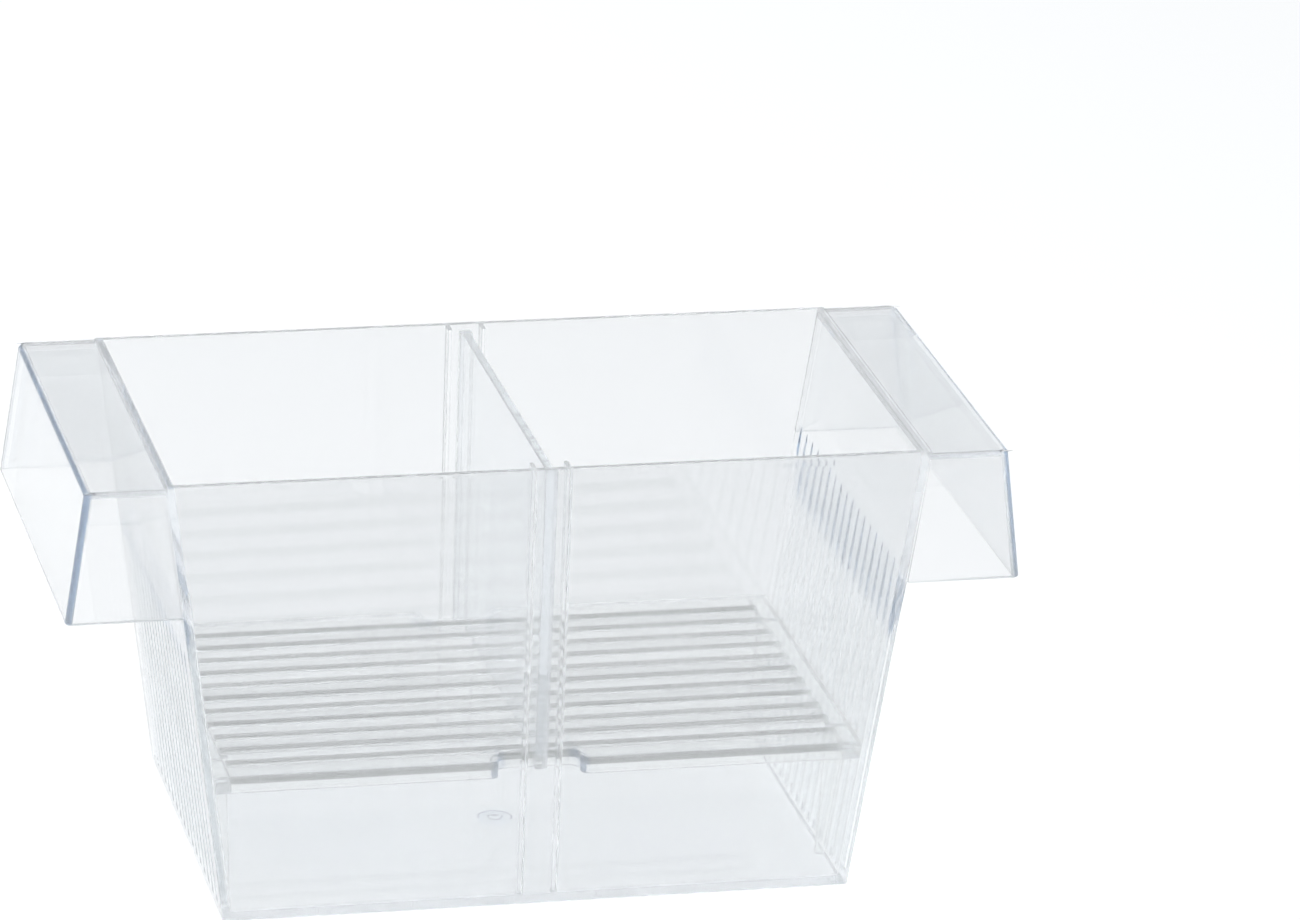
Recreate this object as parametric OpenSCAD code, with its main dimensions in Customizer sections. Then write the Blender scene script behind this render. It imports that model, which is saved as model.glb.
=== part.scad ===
// Floating breeding box: a clear moulded tub with a float wing at each end,
// a slotted grate on four legs and a divider panel that lifts out.
// Millimetres, +Z up. The origin is the middle of the tub's underside.

/* [Tub] */
// Length over the rim, outside
rim_length = 160; // [150:1:190]
// Depth over the rim, front to back, outside
rim_depth = 91.5; // [86:0.5:110]
// Height from the underside to the rim
tub_height = 97; // [90:1:115]
// Lean of the two end walls from the upright, in degrees
end_lean = 7.9; // [7:0.1:9]
// Lean of the front and back walls from the upright, in degrees
side_lean = 0.88; // [0.4:0.02:1.2]
// Wall thickness
wall = 1.8; // [1.5:0.1:2.2]
// Floor thickness
floor_thk = 1.6; // [1.4:0.1:2.2]

/* [Slots in the end walls] */
// Width of a slot
slot_w = 1.5; // [1.1:0.1:1.9]
// Distance from slot to slot
slot_pitch = 4.9; // [4:0.1:6]
// Height of the lower end of the slots
slot_bottom = 2.4; // [2.3:0.1:6]
// Height at which a slot runs out to a point
slot_top = 72; // [60:1:74]

/* [Float wings] */
// Reach of a wing beyond the rim, at its top
wing_reach = 16.4; // [12:0.2:22]
// Height of a wing
wing_height = 28.4; // [24:0.2:32]
// How far the outer wall of a wing leans out at its lower edge
wing_flare = 3.8; // [2:0.1:5]
// How far the front and back walls of a wing flare at the lower edge
wing_side_flare = 0.35; // [0:0.05:0.6]
// Wall thickness of a wing
wing_wall = 1.6; // [1.3:0.1:1.8]
// Radius along the top outer edge of a wing
wing_edge_r = 1.1; // [0.6:0.1:1.2]

/* [Divider guides] */
// Clear width between the two ribs of a guide
guide_gap = 6.3; // [5:0.1:7]
// Thickness of a guide rib
guide_rib = 1; // [0.8:0.1:1.6]
// Height of a guide rib over the inner wall, at the floor
guide_depth = 1.8; // [1.4:0.1:2.2]

/* [Divider] */
// Thickness of the panel
panel_thk = 1.8; // [1.4:0.1:2]
// Thickness of the bead along its upright edges
bead_thk = 2.8; // [2.4:0.1:3.6]
// Width of that bead
bead_w = 2.5; // [2:0.1:3]
// How far the top of the panel lies below the rim
panel_drop = 1; // [0:0.5:6]

/* [Grate] */
// Height of the top of the grate over the tub's underside
grate_top = 32; // [26:1:40]
// Thickness of the plate
grate_thk = 2; // [1.6:0.1:2.4]
// Height of the lip round the plate, with the plate
lip_h = 3.8; // [3:0.1:5]
// Thickness of that lip
lip_thk = 1.3; // [1:0.1:1.4]
// Width of a slot in the grate
grate_slot_w = 2.1; // [1.6:0.1:2.4]
// Distance from slot to slot in the grate
grate_pitch = 7; // [6:0.1:8]
// Width of the solid rail at the left and right ends
rail_w = 3.3; // [2.6:0.1:4]
// Half the width of the notch round a guide
notch_half = 8.7; // [7:0.1:10]
// Depth of that notch
notch_depth = 5.1; // [4.6:0.1:5.8]
// Radius in the notch's corners
notch_r = 2.2; // [1:0.1:2.6]
// Thickness of a leg
leg_thk = 1.8; // [1.4:0.1:2.4]
// Width of a leg where it stands on the floor
leg_foot = 1.7; // [1.4:0.1:3]
// Width of a leg where it meets the plate
leg_head = 4.6; // [3.6:0.1:5]

/* [Fits] */
// Clearance between the grate and the tub's walls
grate_gap = 0.35; // [0.3:0.05:0.6]
// Clearance between the divider's upright edges and the walls
panel_gap = 0.4; // [0.3:0.05:0.6]

/* [Gate mark] */
// Diameter of the shallow ring under the middle of the floor
gate_d = 7.5; // [5:0.5:10]
// Diameter of the stub inside it
gate_stub_d = 3; // [2:0.2:4]
// Depth of the ring
gate_depth = 0.5; // [0.3:0.1:0.7]

/* [Hidden] */
$fn = 48;
far = 400;
end_slope = tan(end_lean);
side_slope = tan(side_lean);
foot_x = rim_length / 2 - tub_height * end_slope;
foot_y = rim_depth / 2 - tub_height * side_slope;
blade_x = inner_x(slot_top);
slot_n = floor((inner_y(0) - slot_w / 2 - 1.5) / slot_pitch);
wing_top = tub_height - 0.4;
wing_low = wing_top - wing_height;
wing_x = rim_length / 2 + wing_reach;
wing_tip_x = wing_x + wing_flare;
wing_lean = atan(wing_flare / wing_height);
edge_t = wing_edge_r / tan((90 + wing_lean) / 2);
rib_tip_y = inner_y(floor_thk) - guide_depth;
lip_low = grate_top - lip_h;
plate_low = grate_top - grate_thk;
notch_y = grate_y(grate_top) - notch_depth;
slot_end_x = grate_x(lip_low) - rail_w - 0.2;
grate_n = floor((notch_y - lip_thk - grate_slot_w / 2) / grate_pitch);
leg_y = grate_pitch * 4.5 - 1.3;
panel_top = tub_height - panel_drop;
tab_low = grate_top - 2.2;
tab_y = notch_y + 0.6;

// Half sizes of the tub's outside and inside at the height z
function outer_x(z) = foot_x + z * end_slope;
function outer_y(z) = foot_y + z * side_slope;
function inner_x(z) = outer_x(z) - wall;
function inner_y(z) = outer_y(z) - wall;

// Half sizes of the grate and of the divider at the height z
function grate_x(z) = inner_x(z) - grate_gap;
function grate_y(z) = inner_y(z) - grate_gap;
function panel_y(z) = inner_y(z) - panel_gap;

// Extrudes a profile that is drawn with x across and z up, along y
module along_y(length) {
    rotate([90, 0, 0])
        translate([0, 0, -length / 2])
            linear_extrude(length)
                children();
}

// Extrudes a profile that is drawn with y across and z up, along x
module along_x(length) {
    rotate([90, 0, 90])
        translate([0, 0, -length / 2])
            linear_extrude(length)
                children();
}

// A block whose four sides lean: x0 and y0 are its half sizes at z0, x1 and y1 at z1
module leaning_block(x0, y0, z0, x1, y1, z1) {
    intersection() {
        along_y(far)
            polygon([[-x0, z0], [x0, z0], [x1, z1], [-x1, z1]]);
        along_x(far)
            polygon([[-y0, z0], [y0, z0], [y1, z1], [-y1, z1]]);
    }
}

// The tub as a plain shell: leaning walls and a flat floor
module shell() {
    z1 = tub_height + 1;
    difference() {
        leaning_block(outer_x(0), outer_y(0), 0, outer_x(tub_height), outer_y(tub_height), tub_height);
        leaning_block(inner_x(floor_thk), inner_y(floor_thk), floor_thk, inner_x(z1), inner_y(z1), z1);
    }
}

// The outline of the right wing, seen from the front, with its top outer edge rounded
module wing_profile() {
    round_x = wing_x - edge_t;
    low_x = wing_x + edge_t * sin(wing_lean);
    low_z = wing_top - edge_t * cos(wing_lean);
    union() {
        polygon([
            [outer_x(wing_low), wing_low],
            [wing_tip_x, wing_low],
            [low_x, low_z],
            [round_x, wing_top],
            [outer_x(wing_top), wing_top]
        ]);
        translate([round_x, wing_top - wing_edge_r])
            circle(r = wing_edge_r);
    }
}

// The hollow of the right wing: it is open below
module wing_hollow() {
    roof = wing_top - wing_wall;
    run = wing_flare / wing_height;
    thick = wing_wall / cos(wing_lean);
    polygon([
        [outer_x(wing_low) - 4, wing_low - 2],
        [wing_tip_x - thick + 2 * run, wing_low - 2],
        [wing_x - thick + wing_wall * run, roof],
        [outer_x(roof) - 4, roof]
    ]);
}

// One float wing, at the right end: it meets the end wall's outer face
module wing() {
    y_top = rim_depth / 2;
    y_low = y_top + wing_side_flare;
    slope = wing_side_flare / wing_height;
    difference() {
        intersection() {
            along_y(far)
                wing_profile();
            along_x(far)
                polygon([[-y_low, wing_low], [y_low, wing_low], [y_top, wing_top], [-y_top, wing_top]]);
        }
        intersection() {
            along_y(far)
                wing_hollow();
            along_x(far)
                polygon([
                    [-y_low - 2 * slope + wing_wall, wing_low - 2],
                    [y_low + 2 * slope - wing_wall, wing_low - 2],
                    [y_top - wing_wall, wing_top],
                    [-y_top + wing_wall, wing_top]
                ]);
        }
    }
}

// One guide rib on the back wall: its tip is upright, its root follows the leaning wall
module guide_rib_back() {
    along_x(guide_rib)
        polygon([
            [rib_tip_y, floor_thk],
            [inner_y(floor_thk), floor_thk],
            [inner_y(tub_height), tub_height],
            [rib_tip_y, tub_height]
        ]);
}

// The upright blade that makes one slot in the right end wall: it has a round nose
module slot_blade() {
    nose = slot_w / 2;
    translate([0, 0, slot_bottom])
        linear_extrude(slot_top - slot_bottom + 1)
            union() {
                translate([inner_x(0) - 4, -nose])
                    square([blade_x - nose - inner_x(0) + 4, slot_w]);
                translate([blade_x - nose, 0])
                    circle(r = nose);
            }
}

module tub() {
    color([0.86, 0.89, 0.93, 0.35])
        difference() {
            shell();
            for (side = [0, 1], k = [-slot_n:slot_n])
                mirror([side, 0, 0])
                    translate([0, k * slot_pitch, 0])
                        slot_blade();
            difference() {
                translate([0, 0, -1])
                    cylinder(d = gate_d, h = gate_depth + 1);
                translate([0, 0, 0.1])
                    cylinder(d = gate_stub_d, h = gate_depth + 1);
            }
        }
}

module guides() {
    color([0.86, 0.89, 0.93, 0.35])
        for (side = [0, 1], x = [-1, 1])
            mirror([0, side, 0])
                translate([x * (guide_gap + guide_rib) / 2, 0, 0])
                    guide_rib_back();
}

module left_float() {
    color([0.86, 0.89, 0.93, 0.35])
        mirror([1, 0, 0])
            wing();
}

module right_float() {
    color([0.86, 0.89, 0.93, 0.35])
        wing();
}

// The notch round a guide, seen from above, grown by the value grow
module notch_outline(grow) {
    half = notch_half + grow;
    inner = notch_y - grow;
    r = notch_r + grow;
    union() {
        translate([-half, inner + r])
            square([2 * half, 20]);
        translate([-half + r, inner])
            square([2 * (half - r), 20]);
        for (x = [-1, 1])
            translate([x * (half - r), inner + r])
                circle(r = r);
    }
}

// Both notches as upright blocks
module notches(grow, z0, z1) {
    for (side = [0, 1])
        mirror([0, side, 0])
            translate([0, 0, z0])
                linear_extrude(z1 - z0)
                    notch_outline(grow);
}

// The grate's outside between two heights, taken in by in_x at its ends and by
// in_y along its front and back
module grate_block(in_x, in_y, z0, z1) {
    leaning_block(
        grate_x(z0) - in_x, grate_y(z0) - in_y, z0,
        grate_x(z1) - in_x, grate_y(z1) - in_y, z1
    );
}

// A leg at the right end: upright plate, its outer edge follows the end wall
module leg() {
    head = plate_low + 0.5;
    along_y(leg_thk)
        polygon([
            [grate_x(floor_thk) - leg_foot, floor_thk],
            [grate_x(floor_thk), floor_thk],
            [grate_x(head), head],
            [grate_x(head) - leg_head, head]
        ]);
}

module grate() {
    color([0.88, 0.91, 0.95, 0.35])
        union() {
            difference() {
                grate_block(0, 0, lip_low, grate_top);
                difference() {
                    grate_block(rail_w, lip_thk, lip_low - 1, plate_low);
                    notches(lip_thk, lip_low - 2, plate_low + 1);
                }
                notches(0, lip_low - 1, grate_top + 1);
                for (k = [-grate_n:grate_n])
                    translate([-slot_end_x, k * grate_pitch - grate_slot_w / 2, lip_low - 1])
                        cube([2 * slot_end_x, grate_slot_w, lip_h + 2]);
            }
            for (side = [0, 1], y = [-1, 1])
                mirror([side, 0, 0])
                    translate([0, y * leg_y, 0])
                        leg();
        }
}

// One bead of the divider, on the back edge, with the tab that reaches into the notch
module bead_back() {
    along_x(bead_thk)
        polygon([
            [panel_y(tab_low) - bead_w, tab_low],
            [panel_y(tab_low), tab_low],
            [panel_y(panel_top), panel_top],
            [panel_y(panel_top) - bead_w, panel_top]
        ]);
}

module divider() {
    color([0.88, 0.91, 0.95, 0.35])
        union() {
            along_x(panel_thk)
                polygon([
                    [-panel_y(panel_top) + 1, panel_top],
                    [-panel_y(tab_low) + 1, tab_low],
                    [-tab_y, tab_low],
                    [-tab_y, grate_top],
                    [tab_y, grate_top],
                    [tab_y, tab_low],
                    [panel_y(tab_low) - 1, tab_low],
                    [panel_y(panel_top) - 1, panel_top]
                ]);
            for (side = [0, 1])
                mirror([0, side, 0])
                    bead_back();
        }
}

tub();
guides();
left_float();
right_float();
grate();
divider();
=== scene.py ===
import math
import bpy
import bmesh
import mathutils
import numpy as np
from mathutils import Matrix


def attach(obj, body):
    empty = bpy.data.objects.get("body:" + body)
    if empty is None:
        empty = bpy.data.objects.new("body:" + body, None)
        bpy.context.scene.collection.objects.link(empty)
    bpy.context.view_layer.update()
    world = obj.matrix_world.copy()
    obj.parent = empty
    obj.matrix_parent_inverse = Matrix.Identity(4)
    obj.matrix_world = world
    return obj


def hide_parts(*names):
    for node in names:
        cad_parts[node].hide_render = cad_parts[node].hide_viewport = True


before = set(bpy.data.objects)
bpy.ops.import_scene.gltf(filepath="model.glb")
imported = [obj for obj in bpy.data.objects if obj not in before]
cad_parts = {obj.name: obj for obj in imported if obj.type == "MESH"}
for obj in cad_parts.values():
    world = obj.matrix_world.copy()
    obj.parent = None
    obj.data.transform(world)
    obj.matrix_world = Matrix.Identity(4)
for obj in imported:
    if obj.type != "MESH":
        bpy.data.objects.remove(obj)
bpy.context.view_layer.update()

scene = bpy.context.scene

# The view
# The camera stands to the left of the front, about twenty degrees above the floor, 1.6 m away
# with a long lens, as the photograph was taken.
photo_width_px = 1300
focal_length_px = 7440.25
eye = bpy.data.cameras.new("photo_camera")
eye.sensor_width = 36.0
eye.lens = focal_length_px / photo_width_px * eye.sensor_width
eye.clip_start = 0.05
eye.clip_end = 50.0
camera = bpy.data.objects.new("photo_camera", eye)
scene.collection.objects.link(camera)
camera.rotation_mode = "QUATERNION"
camera.location = (-0.32056, -1.42933, 0.62705)
camera.rotation_quaternion = (0.816744, 0.565395, -0.079607, -0.083187)
scene.camera = camera
scene.view_settings.view_transform = "Standard"
scene.view_settings.look = "None"

# Light crosses many clear walls on its way through the box, so the paths are long.
longest_path = 32
scene.cycles.max_bounces = longest_path
scene.cycles.transmission_bounces = longest_path
scene.cycles.glossy_bounces = longest_path
scene.cycles.transparent_max_bounces = 2 * longest_path

# The studio
# A plain pale table top under a large soft light from the upper left, a second one behind the
# object for the edges, and a pale sky that is a little darker towards the horizon.


def linear(hex_colour):
    """An sRGB hex colour such as "#DCE4EC" as linear red, green, blue and full alpha."""
    c = np.array([int(hex_colour[i:i + 2], 16) for i in (1, 3, 5)]) / 255
    return (*np.where(c <= 0.04045, c / 12.92, ((c + 0.055) / 1.055) ** 2.4), 1.0)


def add(tree, kind, settings=None, **inputs):
    """Adds a node: settings are its own properties, inputs its sockets (a value or a link).
    A socket is given by its name, or by i and its number."""
    node = tree.nodes.new(kind)
    for key, value in (settings or {}).items():
        setattr(node, key, value)
    for key, value in inputs.items():
        numbered = key[0] == "i" and key[1:].isdigit()
        socket = node.inputs[int(key[1:]) if numbered else key.replace("_", " ")]
        if isinstance(value, bpy.types.NodeSocket):
            tree.links.new(value, socket)
        else:
            socket.default_value = value
    return node


table_half = 4.0
# The table lies a tenth of a millimetre low, so that it and the box's foot don't share a plane.
table_z = -1e-4
floor_mesh = bpy.data.meshes.new("table_top")
table_corners = [(x * table_half, y * table_half, table_z) for x, y in ((-1, -1), (1, -1), (1, 1), (-1, 1))]
floor_mesh.from_pydata(table_corners, [], [(0, 1, 2, 3)])
floor = bpy.data.objects.new("table_top", floor_mesh)
scene.collection.objects.link(floor)
paper = bpy.data.materials.new("white_matt_table")
paper.use_nodes = True
paper_shader = paper.node_tree.nodes["Principled BSDF"]
paper_shader.inputs["Base Color"].default_value = linear("#F7F7F7")
paper_shader.inputs["Roughness"].default_value = 0.9
paper_shader.inputs["Specular IOR Level"].default_value = 0.1
floor_mesh.materials.append(paper)

sky = bpy.data.worlds.new("studio")
scene.world = sky
sky.use_nodes = True
sky_tree = sky.node_tree
direction = add(sky_tree, "ShaderNodeTexCoord").outputs["Generated"]
height = add(sky_tree, "ShaderNodeSeparateXYZ", i0=direction).outputs["Z"]
ramp = add(sky_tree, "ShaderNodeValToRGB", i0=height)
horizon, zenith = ramp.color_ramp.elements
horizon.position = 0.2
horizon.color = linear("#BCC3C8")
zenith.position = 0.75
zenith.color = linear("#FBFCFD")
backdrop = sky_tree.nodes["Background"]
backdrop.inputs["Strength"].default_value = 0.95
sky_tree.links.new(ramp.outputs["Color"], backdrop.inputs["Color"])


def softbox(name, place, aim, side, watts):
    """A square lamp at place that faces the point aim."""
    lamp = bpy.data.lights.new(name, "AREA")
    lamp.shape = "RECTANGLE"
    lamp.size = side
    lamp.size_y = side
    lamp.energy = watts
    holder = bpy.data.objects.new(name, lamp)
    scene.collection.objects.link(holder)
    holder.location = place
    gaze = mathutils.Vector(aim) - mathutils.Vector(place)
    holder.rotation_euler = gaze.to_track_quat("-Z", "Y").to_euler()


box_middle = (0, 0, 0.05)
softbox("key_softbox", place=(-0.9, -0.9, 1.6), aim=box_middle, side=1.2, watts=14)
softbox("back_softbox", place=(-1.3, 1.0, 1.2), aim=box_middle, side=1.0, watts=8)

# The box moulding
# One clear injection moulding of general-purpose polystyrene: the tub, the four guide ribs of
# the divider, the slots in both end walls and the two float wings. Upright blades on the core
# make the slots, so each one is open below and runs out to a point on the inside of the wall.

# All sizes are in millimetres, and the leans are in degrees from the upright.
rim_length = 160.0
rim_depth = 91.5
tub_height = 97.0
end_lean = 7.9
side_lean = 0.88
end_slope = math.tan(math.radians(end_lean))
side_slope = math.tan(math.radians(side_lean))
wall = 1.8
floor_thick = 1.6

slot_wide = 1.5
slot_pitch = 4.9
slots_each_side = 8
slot_low = 2.4
slot_top = 72.0

wing_reach = 16.4
wing_height = 28.4
wing_top = tub_height - 0.4
wing_low = wing_top - wing_height
wing_flare = 3.8
wing_side_flare = 0.35
wing_wall = 1.6
wing_edge_r = 1.1
wing_corner_r = 1.6

guide_gap = 6.3
guide_rib = 1.0
guide_depth = 1.8


def points(x, y, z):
    """Coordinates of any shapes that fit together, as one array of points in millimetres."""
    return np.stack(np.broadcast_arrays(*(np.asarray(c, float) for c in (x, y, z))), axis=-1)


def sheet(grid, keep=None):
    """Four-cornered faces of a grid of points: the cell (i, j) lies between the points (i, j)
    and (i + 1, j + 1). keep says which cells are there."""
    cells = np.stack([grid[:-1, :-1], grid[1:, :-1], grid[1:, 1:], grid[:-1, 1:]], axis=2)
    return cells.reshape(-1, 4, 3) if keep is None else cells[np.broadcast_to(keep, cells.shape[:2])]


def strip(line_a, line_b, keep=None):
    """The faces between two lines with the same number of points."""
    return sheet(np.stack([line_a, line_b]), keep)


def cap(outline):
    """One flat face with the given corners."""
    return np.asarray(outline, float)[None]


def both(parts, axis):
    """The parts and their mirror images across the plane where the axis is nought."""
    sign = np.ones(3)
    sign[axis] = -1
    return parts + [p * sign for p in parts]


def outer_x(z):
    """Half the tub's length outside at the height z: half the rim less the depth below it
    times the slope."""
    return rim_length / 2 - (tub_height - z) * end_slope


def outer_y(z):
    """Half the tub's depth outside at the height z, worked out as its length is."""
    return rim_depth / 2 - (tub_height - z) * side_slope


def inner_x(z):
    """Half the tub's length inside: one wall less."""
    return outer_x(z) - wall


def inner_y(z):
    """Half the tub's depth inside: one wall less."""
    return outer_y(z) - wall


def wing_y(z):
    """Half a wing's depth outside: it flares evenly from its top to its lower edge."""
    return outer_y(wing_top) + (wing_top - z) * wing_side_flare / wing_height


def height_of(x):
    """The height at which the end wall's outer face stands at x."""
    return tub_height - (rim_length / 2 - x) / end_slope


# Columns across an end wall: nine for each slot, at its middle plus half its width times the
# sine of even angles, a few beside the middle one for the gate mark, and the rib tips.
half_slot = slot_wide / 2
rib_tip = inner_y(floor_thick) - guide_depth
slot_middles = slot_pitch * np.arange(-slots_each_side, slots_each_side + 1)
slot_columns = (slot_middles[:, None] + half_slot * np.sin(np.radians(np.linspace(-90, 90, 9)))).ravel()
patch_y = slot_pitch - half_slot
gate_columns = np.linspace(half_slot, patch_y, 6)[1:-1]
across = np.sort(np.concatenate([[-rib_tip], slot_columns, -gate_columns, gate_columns, [rib_tip]]))
columns = len(across)
gap_middles = (across[1:] + across[:-1]) / 2
is_slot = np.abs(gap_middles - slot_pitch * np.round(gap_middles / slot_pitch)) < half_slot

# A blade's nose is a half cylinder: x = its foremost x - r + sqrt(r2 - dy2), where dy is the
# distance from the slot's middle. A slot ends where that meets the inner and the outer face.
off_middle = np.minimum(np.abs(across - slot_pitch * np.round(across / slot_pitch)), half_slot)
off_middle[[0, -1]] = half_slot
nose = inner_x(slot_top) - half_slot + np.sqrt(np.maximum(half_slot ** 2 - off_middle ** 2, 0))

# Plain rows just above the slots, and how far the outside's last column is from the corner.
above_slots_inside = 73.5
above_slots_outside = 61.0
corner_strip = 0.8
inside_rows = np.stack(np.broadcast_arrays(
    floor_thick, slot_low, height_of(nose + wall), above_slots_inside, tub_height))
outside_rows = np.stack(np.broadcast_arrays(
    0.0, slot_low, height_of(nose), above_slots_outside,
    wing_low, wing_top - wing_wall, wing_top, tub_height))

# The outside's rows at a wing's lower edge, under its roof and on top of it.
low_row, under_row, top_row = 4, 5, 6

# Columns along the front and back walls: they stop at the guide ribs' flanks.
rib_in = guide_gap / 2
rib_out = rib_in + guide_rib
along = np.concatenate([[-rib_out], np.linspace(-rib_in, rib_in, 9), [rib_out]])
is_rib = np.zeros(len(along) + 1, bool)
is_rib[[1, -2]] = True


def end_wall():
    """The right end wall as faces, and the grid of points on its outside.

    The grids of its inside and its outside have the rows and columns above, and columns for the
    tub's corners. The outside has one more near each corner, which runs up the inner face of
    the wing's wall."""
    z = np.pad(inside_rows, ((0, 0), (1, 1)), mode="edge")
    y = np.pad(np.broadcast_to(across, inside_rows.shape), ((0, 0), (1, 1)))
    y[:, 0] = -inner_y(z[:, 0])
    y[:, -1] = inner_y(z[:, -1])
    inner = points(inner_x(z), y, z)

    z = np.pad(outside_rows, ((0, 0), (2, 2)), mode="edge")
    y = np.pad(np.broadcast_to(across, outside_rows.shape), ((0, 0), (2, 2)))
    beside = np.where(z >= wing_low, wing_y(z) - wing_wall, outer_y(z) - corner_strip)
    y[:, 0] = -outer_y(z[:, 0])
    y[:, 1] = -beside[:, 1]
    y[:, -2] = beside[:, -2]
    y[:, -1] = outer_y(z[:, -1])
    outer = points(outer_x(z), y, z)

    keep_in = np.ones((len(inner) - 1, columns + 1), bool)
    keep_in[1, 1:-1] = ~is_slot
    keep_out = np.ones((len(outer) - 1, columns + 3), bool)
    keep_out[1, 2:-2] = ~is_slot
    keep_out[low_row, [0, -1]] = False
    keep_out[under_row] = False
    faces = [sheet(inner, keep_in), sheet(outer, keep_out)]

    # the slots: their lower ends, the noses and the two flanks of each
    inside, outside = inner[:, 1:-1], outer[:, 2:-2]
    faces += [strip(inside[1], outside[1], is_slot), strip(inside[2], outside[2], is_slot)]
    beside_slot = np.append(is_slot, False) | np.insert(is_slot, 0, False)
    flank = beside_slot & (np.abs(off_middle - half_slot) < 1e-6)
    flanks = [inside[1][flank], outside[1][flank], outside[2][flank], inside[2][flank]]
    faces.append(np.stack(flanks, axis=1))

    # the rim, mitred at the corners
    faces.append(strip(inside[-1], outside[-1]))
    for corner, second, third in ((0, 1, 2), (-1, -2, -3)):
        faces += [cap([inner[-1, corner], inner[-1, second], outer[-1, third], outer[-1, second]]),
                  cap([inner[-1, corner], outer[-1, second], outer[-1, corner]])]
    return faces, outer


def wing(outer):
    """The right wing as faces, on the grid outer of the end wall that carries it.

    Its skin is a stack of level sections with round corners, centre + radius times (sin a,
    cos a). They rise from the lower edge up the leaning wall and over the rounded top edge, an
    arc of the same form. The front and back of each section start at the tub's corner."""
    run = wing_flare / wing_height
    lean = math.atan(run)
    wing_x = rim_length / 2 + wing_reach
    tangent = wing_edge_r / math.tan((math.pi / 2 + lean) / 2)
    turn = np.linspace(math.pi / 2 - lean, 0, 6)
    skin_x = np.append(wing_x + wing_flare, wing_x - tangent + wing_edge_r * np.sin(turn))[:, None]
    skin_z = np.append(wing_low, wing_top - wing_edge_r + wing_edge_r * np.cos(turn))[:, None]
    quarter = np.radians(np.linspace(0, 90, 7))
    corner_x = np.hstack([outer_x(skin_z), skin_x - wing_corner_r + wing_corner_r * np.sin(quarter)])
    corner_y = np.hstack([wing_y(skin_z), wing_y(skin_z) - wing_corner_r + wing_corner_r * np.cos(quarter)])
    straight_x = skin_x * np.ones(columns)
    straight_y = across[::-1] * np.ones_like(skin_z)
    skin = points(np.hstack([corner_x, straight_x, corner_x[:, ::-1]]),
                  np.hstack([corner_y, straight_y, -corner_y[:, ::-1]]), skin_z)
    bend = corner_x.shape[1]

    # the hollow under it: its roof next to the tub, its roof at the outer wall, and the lower edge
    level_wall = wing_wall / math.cos(lean)
    hollow_z = np.array([wing_top - wing_wall, wing_top - wing_wall, wing_low])[:, None]
    hollow_x = np.array([outer_x(wing_top - wing_wall), wing_x - level_wall + wing_wall * run,
                         wing_x - level_wall + wing_height * run])[:, None]
    hollow_y = wing_y(hollow_z) - wing_wall
    hollow_span = np.hstack([hollow_y, across[::-1] * np.ones_like(hollow_y), -hollow_y])
    hollow = points(hollow_x, hollow_span, hollow_z)
    roof_edge = outer[top_row, 2:-2][::-1]
    faces = [sheet(skin), sheet(hollow), strip(skin[0, bend - 1:bend + columns + 1], hollow[2]),
             strip(skin[-1, bend:bend + columns], roof_edge)]

    # at the back and at the front: the wall's end at the tub's corner, its lower edge, the end
    # of the roof and the inner face of the wall
    for step, corner, second, third in ((1, -1, -2, -3), (-1, 0, 1, 2)):
        skin_side = skin[:, ::step]
        pocket = hollow[:, ::step]
        tub_corner = outer[[top_row, under_row, low_row], corner]
        faces += [cap([*skin_side[:, 0], *tub_corner]),
                  cap([*skin_side[0, :bend], pocket[2, 0], outer[low_row, second], outer[low_row, corner]]),
                  cap([*skin_side[-1, :bend + 1], outer[top_row, third], outer[top_row, second]]),
                  cap([outer[low_row, second], outer[under_row, second], pocket[1, 0], pocket[2, 0]])]
    return faces


def back_wall():
    """The back wall with its two guide ribs and its rim as faces. A rib's tip is upright and
    its root follows the leaning wall."""
    z = inside_rows[:, :1]
    x = np.hstack([-inner_x(z), np.broadcast_to(along, (len(z), len(along))), inner_x(z)])
    face_in = points(x, inner_y(z), z)
    faces = [sheet(face_in, ~is_rib)]
    for a, b in ((1, 2), (-3, -2)):
        tip = points(face_in[:, [a, b], 0], rib_tip, z)
        faces += [strip(face_in[:, a], tip[:, 0]), strip(face_in[:, b], tip[:, 1]), sheet(tip),
                  cap([face_in[-1, a], face_in[-1, b], tip[-1, 1], tip[-1, 0]])]
    z = outside_rows[:, :1]
    x = np.hstack([-outer_x(z), np.broadcast_to(along, (len(z), len(along))), outer_x(z)])
    face_out = points(x, outer_y(z), z)
    return faces + [sheet(face_out), strip(face_in[-1], face_out[-1])]


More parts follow.
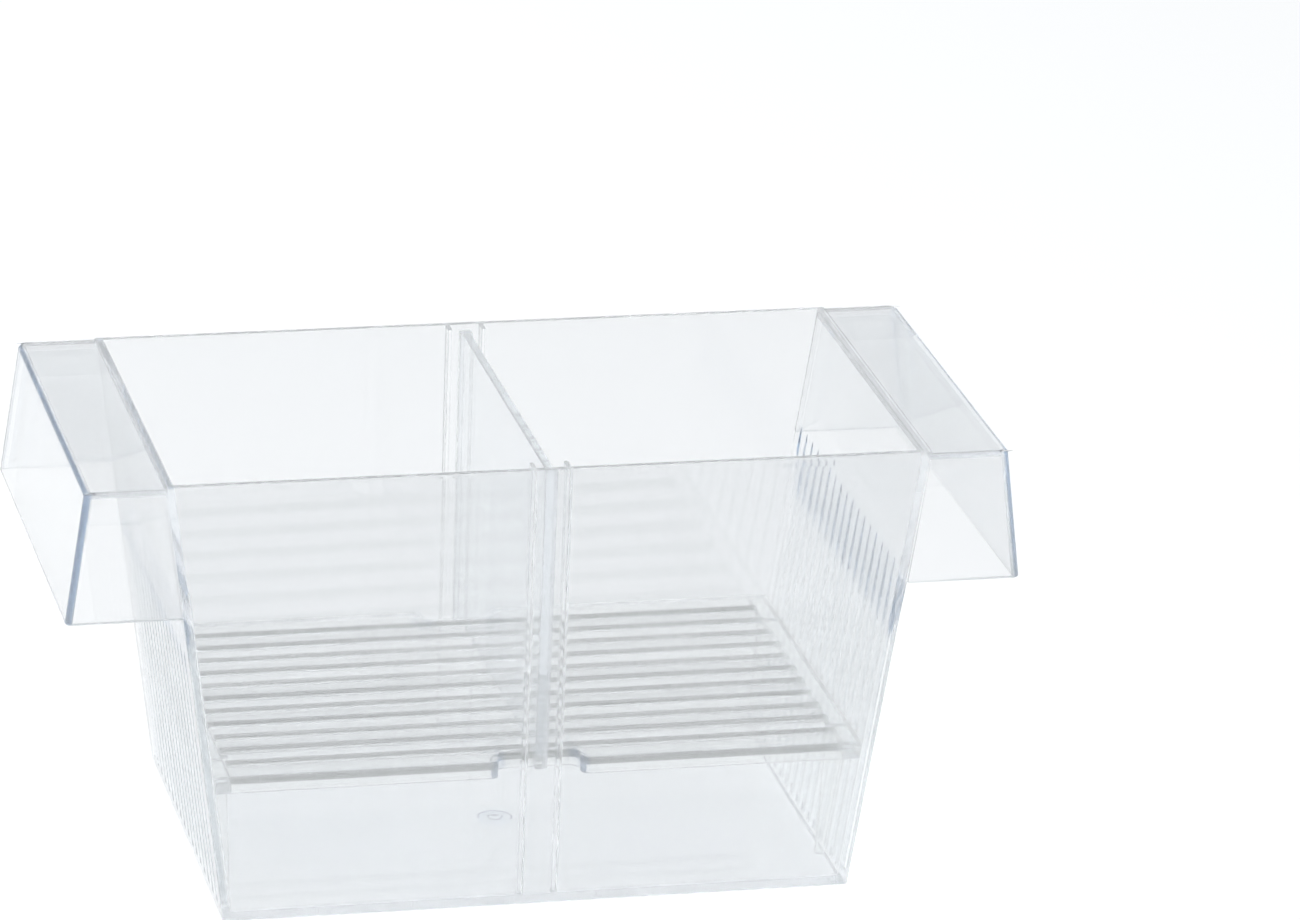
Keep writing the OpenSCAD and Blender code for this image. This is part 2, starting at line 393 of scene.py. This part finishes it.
def tub_floor():
    """The floor as faces: its top with gaps for the ribs' feet, and its underside with a square
    hole. Rings round the upright axis, radius times (cos a, sin a), fill that: the gate mark, a
    shallow ring round the stub where the melt came in."""
    grid_x = np.array([-inner_x(floor_thick), *along, inner_x(floor_thick)])[:, None]
    grid_y = np.array([-inner_y(floor_thick), *across, inner_y(floor_thick)])[None]
    under_wall = np.isin(np.arange(columns + 1), [0, columns])
    faces = [sheet(points(grid_x, grid_y, floor_thick), ~(is_rib[:, None] & under_wall[None]))]

    grid_x = np.array([-outer_x(0), *along, outer_x(0)])[:, None]
    edge = outer_y(0)
    grid_y = np.array([-edge, corner_strip - edge, *across, edge - corner_strip, edge])[None]
    middle_x = (grid_x[1:] + grid_x[:-1]) / 2
    middle_y = (grid_y[:, 1:] + grid_y[:, :-1]) / 2
    patch = (np.abs(middle_x) < rib_out) & (np.abs(middle_y) < patch_y)
    faces.append(sheet(points(grid_x, grid_y, 0), ~patch))

    edge_y = across[np.abs(across) < patch_y + 0.01]
    square = np.concatenate([points(rib_out, edge_y, 0), points(along[::-1], patch_y, 0)[1:],
                             points(-rib_out, edge_y[::-1], 0)[1:], points(along, -patch_y, 0)[1:]])
    angle = np.arctan2(square[:, 1], square[:, 0])
    # the radius and the height of each ring, from the square inwards
    ring_and_stub = ((3.75, 0), (3.45, 0.5), (1.6, 0.5), (1.5, 0.15), (1.3, 0.1), (0.4, 0.16), (0, 0.16))
    rings = [points(radius * np.cos(angle), radius * np.sin(angle), z) for radius, z in ring_and_stub]
    faces.append(sheet(np.stack([square, *rings])))
    return faces


def welded(name, parts):
    """The mesh of all faces in parts, arrays of corners in millimetres: corners in one place
    become one vertex, and then the faces are turned outwards. Plane walls are shaded flat, and
    round ones, whose normal leans well away from every axis, smooth."""
    weld_distance = 3e-6
    least_lean = 0.15
    mesh = bpy.data.meshes.new(name)
    corners = np.concatenate([p.reshape(-1, 3) for p in parts]) / 1000
    counts = np.concatenate([np.full(len(p), p.shape[1]) for p in parts])
    mesh.vertices.add(len(corners))
    mesh.vertices.foreach_set("co", corners.ravel())
    mesh.loops.add(len(corners))
    mesh.loops.foreach_set("vertex_index", np.arange(len(corners)))
    mesh.polygons.add(len(counts))
    mesh.polygons.foreach_set("loop_start", np.cumsum(counts) - counts)
    mesh.update(calc_edges=True)
    bm = bmesh.new()
    bm.from_mesh(mesh)
    bmesh.ops.remove_doubles(bm, verts=bm.verts, dist=weld_distance)
    bmesh.ops.recalc_face_normals(bm, faces=bm.faces)
    bm.to_mesh(mesh)
    bm.free()
    normal = np.empty(len(mesh.polygons) * 3, np.float32)
    mesh.polygons.foreach_get("normal", normal)
    second_largest = np.sort(np.abs(normal.reshape(-1, 3)), axis=1)[:, 1]
    flat = mesh.attributes.new("sharp_face", "BOOLEAN", "FACE")
    flat.data.foreach_set("value", second_largest < least_lean)
    return mesh


def bevel_weights(mesh, rule):
    """Gives each sharp edge the weight that rule returns for its middle, in millimetres. An
    edge is sharp where its two faces turn by more than 28 degrees."""
    sharp_cosine = math.cos(math.radians(28))
    edge_of = np.empty(len(mesh.loops), np.int32)
    total = np.empty(len(mesh.polygons), np.int32)
    mesh.loops.foreach_get("edge_index", edge_of)
    mesh.polygons.foreach_get("loop_total", total)
    normal = np.empty(len(mesh.polygons) * 3, np.float32)
    mesh.polygons.foreach_get("normal", normal)
    normal = normal.reshape(-1, 3)
    owner = np.repeat(np.arange(len(total)), total)
    pair = owner[np.argsort(edge_of, kind="stable")].reshape(-1, 2)
    cosine = (normal[pair[:, 0]] * normal[pair[:, 1]]).sum(1)
    ends = np.empty(len(mesh.edges) * 2, np.int32)
    mesh.edges.foreach_get("vertices", ends)
    place = np.empty(len(mesh.vertices) * 3, np.float32)
    mesh.vertices.foreach_get("co", place)
    a, b = place.reshape(-1, 3)[ends.reshape(-1, 2)].transpose(1, 0, 2) * 1000
    weight = np.where(cosine < sharp_cosine, rule((a + b) / 2), 0)
    layer = mesh.attributes.new("bevel_weight_edge", "FLOAT", "EDGE")
    layer.data.foreach_set("value", weight.astype(np.float32))


def blade_finish_and_shading(mesh, rule):
    """Marks the faces left by the thin steel blades that make the slots, for their rougher finish and
    for the shading painted on them: rule(middle, normal) says how strongly each one shows, from
    its middle in millimetres and its normal."""
    normal = np.empty(len(mesh.polygons) * 3, np.float32)
    middle = np.empty(len(mesh.polygons) * 3, np.float32)
    mesh.polygons.foreach_get("normal", normal)
    mesh.polygons.foreach_get("center", middle)
    marked = rule(middle.reshape(-1, 3).astype(float) * 1000, normal.reshape(-1, 3))
    layer = mesh.attributes.new("blade_finish_and_shading", "FLOAT", "FACE")
    layer.data.foreach_set("value", marked.astype(np.float32))


def finished(name, mesh, material, body, nodes):
    """An object for a mesh whose edges are rounded, by their weight as a share of half a
    millimetre, and which rides on a body and stands for CAD nodes."""
    full_rounding_mm = 0.5
    piece = bpy.data.objects.new(name, mesh)
    scene.collection.objects.link(piece)
    rounding = piece.modifiers.new("rounded_edges", "BEVEL")
    rounding.limit_method = "WEIGHT"
    rounding.segments = 3
    rounding.width = full_rounding_mm / 1000
    rounding.use_clamp_overlap = False
    mesh.materials.append(material)
    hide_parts(*nodes)
    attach(piece, body)


def clear_polystyrene(name, tint, cut_painted_shading=None, cut_roughness=0.0, cut_passed=None):
    """General-purpose polystyrene, clear, from a polished steel mould: water white, with a slow
    waviness from the melt and a pale blue cast along its edges, where light crosses more of it.
    The faces marked by the blade mark are less polished, and their own tint is painted shading (dark
    on the grate, a little lighter on the moulding), so that each slot is seen as a soft line: the
    last three arguments, that painted tint, the roughness and the share of light that goes straight
    through, are theirs."""
    polish = 0.02
    straight = 0.12
    flow_mark_mm = 22
    material = bpy.data.materials.new(name)
    material.use_nodes = True
    tree = material.node_tree
    shader = tree.nodes["Principled BSDF"]
    shader.inputs["IOR"].default_value = 1.59
    shader.inputs["Transmission Weight"].default_value = 0.95
    shader.inputs["Base Color"].default_value = linear(tint)

    # The melt's flow marks change the polish and bend the surface a little.
    place = add(tree, "ShaderNodeTexCoord").outputs["Object"]
    marks_per_metre = round(1000 / flow_mark_mm)
    flow = add(tree, "ShaderNodeTexNoise", Vector=place, Scale=marks_per_metre, Detail=2.0).outputs["Fac"]
    matt = add(tree, "ShaderNodeMapRange", Value=flow, From_Min=0.3, From_Max=0.7,
               To_Min=polish, To_Max=polish * 2.5).outputs["Result"]
    wave = add(tree, "ShaderNodeBump", Strength=0.1, Distance=0.00001, Height=flow)
    tree.links.new(wave.outputs["Normal"], shader.inputs["Normal"])
    # The marked faces take a painted tint: painted shade on the grate, where it draws each slot as a dark
    # line, and a little less of the painted grey veil on the moulding's slots.
    if cut_painted_shading:
        cut_and_shading_mask = add(tree, "ShaderNodeAttribute", {"attribute_name": "blade_finish_and_shading"}).outputs["Fac"]
        colour = add(tree, "ShaderNodeMix", {"data_type": "RGBA"},
                     i0=cut_and_shading_mask, i6=linear(tint), i7=linear(cut_painted_shading))
        tree.links.new(colour.outputs[2], shader.inputs["Base Color"])
        matt = add(tree, "ShaderNodeMath", {"operation": "MULTIPLY_ADD"},
                   i0=cut_and_shading_mask, i1=cut_roughness, i2=matt).outputs["Value"]
    if cut_passed:
        straight = add(tree, "ShaderNodeMapRange", Value=cut_and_shading_mask,
                       To_Min=straight, To_Max=cut_passed).outputs["Result"]
    tree.links.new(matt, shader.inputs["Roughness"])

    # A share of the light goes straight through, and light from the lamps always does.
    passed = add(tree, "ShaderNodeBsdfTransparent").outputs["BSDF"]
    seen = add(tree, "ShaderNodeMixShader", i0=straight, i1=shader.outputs["BSDF"], i2=passed)
    lamp = add(tree, "ShaderNodeLightPath").outputs["Is Shadow Ray"]
    mixed = add(tree, "ShaderNodeMixShader", i0=lamp, i1=seen.outputs["Shader"], i2=passed)
    output = tree.nodes["Material Output"]
    tree.links.new(mixed.outputs["Shader"], output.inputs["Surface"])
    depth = add(tree, "ShaderNodeVolumeAbsorption", Color=linear("#B4D6F0"), Density=1.4)
    tree.links.new(depth.outputs["Volume"], output.inputs["Volume"])
    return material


def moulding_rounding(middle):
    """How round each edge is: the rim, the foot and the tub's corners most, the wings and the
    ribs less, the slots, the gate mark and the wings' walls between their edges not at all."""
    x, y, z = np.abs(middle).T
    wing_walls = (x > 76) & (z > 69) & (z < 96)
    gate_mark = (x < 4.5) & (y < 4.5)
    slots = (x > 64) & (x < 76) & (y < 40.2) & (z > 2) & (z < 75)
    wings = (x > 76) & (z > 60)
    guides = (x < 5) & (y > 40)
    return np.select([wing_walls, gate_mark, slots, wings, guides], [0, 0, 0, 0.7, 0.55], 0.8)


def end_slot_walls(middle, normal):
    """The upright faces inside the end walls' slots: across the slots, in the thickness of the
    wall and no higher than the slots."""
    x, y, z = np.abs(middle).T
    return (y < 40.2) & (x > 64) & (x < 79) & (z > 2) & (z < 74) & (np.abs(normal[:, 2]) < 0.05)


right_end, outer_grid = end_wall()
right_end += wing(outer_grid)
moulding_mesh = welded("box_moulding", both(right_end, 0) + both(back_wall(), 1) + tub_floor())
blade_finish_and_shading(moulding_mesh, end_slot_walls)
bevel_weights(moulding_mesh, moulding_rounding)
# The moulding's pale grey tint is painted shade, a veil that stands in for the dimmer backdrop seen through
# its walls; its slot faces are painted a little lighter, with less of that veil.
moulding_plastic = clear_polystyrene(
    "clear_moulded_polystyrene", "#EFF0F1", cut_painted_shading="#F3F5F6", cut_roughness=0.06, cut_passed=0.25)
finished("box_moulding", moulding_mesh, moulding_plastic, "tub",
         ["tub", "guides", "left_float", "right_float"])

# The grate
# A clear polystyrene plate that stands on the tub's floor on four legs: eleven long slots, a lip
# turned down all round, and a notch at the middle of the front and back for the guide ribs.
grate_top = 32.0
grate_under = grate_top - 2.0
lip_low = grate_top - 3.8
lip_thick = 1.3
grate_rail = 3.3
grate_gap = 0.35
grate_pitch = 7.0
grate_slot_wide = 2.1
notch_half = 8.7
notch_depth = 5.1
notch_r = 2.2
mouth_r = 1.9
leg_middle = grate_pitch * 4.5 - 1.3
leg_thick = 1.8
leg_head = 4.6
leg_foot = 1.7
leg_head_height = 30.5


def grate_x(z):
    """Half the grate's length at the height z: the gap less than the tub's inside."""
    return inner_x(z) - grate_gap


def grate_y(z):
    """Half the grate's depth at the height z: the gap less than the tub's inside."""
    return inner_y(z) - grate_gap


def shin_x(z):
    """Where a leg's inner side stands at the height z: on the straight line from its foot, one
    foot's width within the grate's end, to its head."""
    low = grate_x(floor_thick) - leg_foot
    high = grate_x(leg_head_height) - leg_head
    return low + (high - low) * (z - floor_thick) / (leg_head_height - floor_thick)


# Lines along the grate: both sides of each slot and of each pair of legs.
grate_slot_y = (grate_pitch * np.arange(-5, 6)[:, None] + [-grate_slot_wide / 2, grate_slot_wide / 2]).ravel()
leg_y = leg_middle + np.array([-leg_thick / 2, leg_thick / 2])
grate_lines = np.sort(np.concatenate([grate_slot_y, leg_y, -leg_y]))
slot_first = np.searchsorted(grate_lines, grate_slot_y[::2] - 0.01)
leg_first = np.searchsorted(grate_lines, np.array([leg_y[0], -leg_y[1]]) - 0.01)


def grate_outline(z, end_inset, inset):
    """The grate's front line, and its whole outline as a closed loop, at the height z.

    The front runs from left to right, and then come the right end, the back and the left end.
    Each notch has quarter circles in its corners, centre + radius times (-cos a, sin a), and at
    its mouth, centre + radius times (sin a, -cos a). end_inset and inset take the outline in."""
    turn = np.radians(np.linspace(0, 90, 8))
    end, side = grate_x(z) - end_inset, grate_y(z) - inset
    corner_r, lip_r = notch_r + inset, mouth_r - inset
    corner_y = grate_y(grate_top) - notch_depth + notch_r
    corner = points(notch_r - notch_half - corner_r * np.cos(turn), corner_r * np.sin(turn) - corner_y, z)
    mouth = points(-notch_half - mouth_r + lip_r * np.sin(turn), -side + lip_r - lip_r * np.cos(turn), z)
    left = np.concatenate([points([-end], [-side], z), mouth, corner])
    front = np.concatenate([left, left[::-1] * [-1, 1, 1]])
    right_end = points(end, grate_lines, z)
    left_end = right_end[::-1] * [-1, 1, 1]
    return front, np.concatenate([front, right_end, front[::-1] * [1, -1, 1], left_end, front[:1]])


def grate_faces():
    """The grate as faces: its rim and lip between outlines at four heights, the plate with its
    slots between the grate lines, and the legs. The lip's inner line is the outline taken in by
    the lip along the front, the back and the notches, and by a solid rail at the ends."""
    front_top, rim_top = grate_outline(grate_top, 0, 0)
    _, rim_low = grate_outline(lip_low, 0, 0)
    _, lip_in_low = grate_outline(lip_low, grate_rail, lip_thick)
    front_under, lip_in = grate_outline(grate_under, grate_rail, lip_thick)
    fronts = len(front_top)
    lines = len(grate_lines)
    # where a leg stands, on the right end and, counted backwards, on the left end
    at_leg = np.zeros(2 * (fronts + lines), bool)
    for k in leg_first:
        at_leg[[fronts + k, 2 * fronts + 2 * lines - 2 - k]] = True
    parts = [strip(rim_top, rim_low), strip(rim_low, lip_in_low, ~at_leg), strip(lip_in_low, lip_in, ~at_leg)]

    # the plate: bars between the slots, plain ends and a margin along the front and the back
    slot_x = grate_x(lip_low) - grate_rail - 0.2
    rail_x = grate_x(grate_under) - grate_rail
    leg_x = shin_x(grate_under)
    run = np.array([-slot_x, -leg_x, leg_x, slot_x])
    is_gap = np.isin(np.arange(lines - 1), slot_first)
    over_leg = np.isin(np.arange(lines - 1), leg_first)
    between_ends = np.array([False, True, True, True, False])[:, None]
    over_legs = np.array([True, True, False, True, True])[:, None]
    top_x = np.array([-grate_x(grate_top), *run, grate_x(grate_top)])
    low_x = np.array([-rail_x, *run, rail_x])
    parts.append(sheet(points(top_x[:, None], grate_lines[None], grate_top), ~(between_ends & is_gap)))
    parts.append(sheet(points(low_x[:, None], grate_lines[None], grate_under),
                       ~((between_ends & is_gap) | (over_legs & over_leg))))
    margins = [cap([*points(top_x[::-1], grate_lines[0], grate_top), *front_top]),
               cap([*points(low_x[::-1], grate_lines[0], grate_under), *front_under])]

    # the slots' long walls and their ends
    for y in grate_slot_y:
        parts.append(strip(points(run, y, grate_top), points(run, y, grate_under)))
    for y in grate_slot_y[::2]:
        for x in (-slot_x, slot_x):
            ends = [y, y + grate_slot_wide]
            parts.append(strip(points(x, ends, grate_top), points(x, ends, grate_under)))

    # the four legs, flush with the lip outside and standing on the floor
    legs = []
    foot, lip_x = grate_x(floor_thick), grate_x(lip_low)
    profile = np.array([(foot - leg_foot, floor_thick), (foot, floor_thick), (lip_x, lip_low),
                        (lip_x - grate_rail, lip_low), (rail_x, grate_under), (slot_x, grate_under),
                        (leg_x, grate_under)])
    for sides in (leg_y, -leg_y[::-1]):
        near, far = (points(profile[:, 0], y, profile[:, 1]) for y in sides)
        legs += [cap(near), cap(far), strip(near[:3], far[:3]), strip(near[[6, 0]], far[[6, 0]])]
    return parts + both(margins, 1) + both(legs, 0)


def grate_cut_walls(middle, normal):
    """The upright faces along the slots, painted with shade that shows each slot as a dark line. The
    outermost ones, beside the plain margin at the front and at the back, get the most painted shade."""
    along_slots = (np.abs(normal[:, 1]) > 0.9) & (np.abs(middle[:, 1]) < 37) & (middle[:, 2] > 29.9)
    return along_slots * np.where(np.abs(middle[:, 1]) > 35.5, 1.0, 0.62)


def grate_rounding(middle):
    """The plate's edges are rounded more than the legs' and the lip's lower edges."""
    return np.where(middle[:, 2] > 29, 0.6, 0.45)


grate_mesh = welded("slotted_grate", grate_faces())
blade_finish_and_shading(grate_mesh, grate_cut_walls)
bevel_weights(grate_mesh, grate_rounding)
# Its slot walls are painted a dark olive grey: painted shade for the dark line along each slot.
grate_plastic = clear_polystyrene(
    "clear_polystyrene_grate", "#FBFBFA", cut_painted_shading="#5C605A", cut_roughness=0.02)
finished("slotted_grate", grate_mesh, grate_plastic, "grate", ["grate"])

# The divider
# A clear polystyrene panel with a bead down both upright edges, dropped between the guide ribs.
# It stands on the grate, and the feet of its beads reach into the grate's notches.
panel_top = tub_height - 1.0
panel_low = grate_top - 2.2
panel_half = 0.9
bead_half = 1.4
bead_wide = 2.5
panel_gap = 0.4
tab_y = 38.1


def panel_y(z):
    """Half the divider's depth at the height z: the gap less than the tub's inside."""
    return inner_y(z) - panel_gap


def divider_faces():
    """The divider as faces: one outline, round both beads, at the grate's top and at the
    panel's top, and the beads' feet below that. The beads' outer faces lean with the walls."""
    z = np.array([grate_top, panel_top])[:, None]
    reach = panel_y(z)
    half_y = np.hstack([reach, reach, reach - bead_wide, reach - bead_wide, np.full_like(reach, tab_y)])
    half_x = np.array([-bead_half, bead_half, bead_half, panel_half, panel_half])
    y = np.hstack([half_y[:, 1:], -half_y[:, :0:-1], -half_y[:, 1:], half_y[:, :0:-1]])
    loop = points(np.hstack([half_x[1:], half_x[:0:-1], -half_x[1:], -half_x[:0:-1]]), y, z)
    parts = [sheet(np.hstack([loop, loop[:, :1]]))]
    neck = panel_y(panel_top) - bead_wide
    top_x = panel_half * np.array([1, 1, 1, 1, -1, -1, -1, -1])
    parts.append(cap(points(top_x, [neck, tab_y, -tab_y, -neck, -neck, -tab_y, tab_y, neck], panel_top)))

    # the ends of the beads, and their feet, which reach below the panel
    bead_x = [bead_half, bead_half, panel_half, -panel_half, -bead_half, -bead_half]
    bead_y = bead_wide * np.array([0, -1, -1, -1, -1, 0])
    foot_x = [panel_half, -panel_half, -panel_half, panel_half]
    foot_end = panel_y(panel_low) - bead_wide
    halves = [cap(points(bead_x, panel_y(h) + bead_y, h)) for h in (panel_top, panel_low)]
    halves += [cap(points(foot_x, [foot_end, foot_end, tab_y, tab_y], panel_low)),
               cap(points(foot_x, tab_y, [panel_low, panel_low, grate_top, grate_top]))]
    z = np.array([panel_low, grate_top])[:, None]
    tab = np.full_like(z, tab_y)
    ring_y = np.hstack([tab, panel_y(z) + bead_wide * np.array([-1, -1, 0, 0, -1, -1]), tab])
    ring_x = [panel_half, panel_half, bead_half, bead_half, -bead_half, -bead_half, -panel_half, -panel_half]
    halves.append(sheet(points(ring_x, ring_y, z)))
    parts.append(cap(points(foot_x, [tab_y, tab_y, -tab_y, -tab_y], grate_top)))
    return parts + both(halves, 1)


def divider_rounding(middle):
    """All its edges are rounded alike."""
    return np.full(len(middle), 0.7)


divider_mesh = welded("divider_panel", divider_faces())
bevel_weights(divider_mesh, divider_rounding)
divider_plastic = clear_polystyrene("clear_polystyrene_divider", "#F7F8F9")
finished("divider_panel", divider_mesh, divider_plastic, "divider", ["divider"])
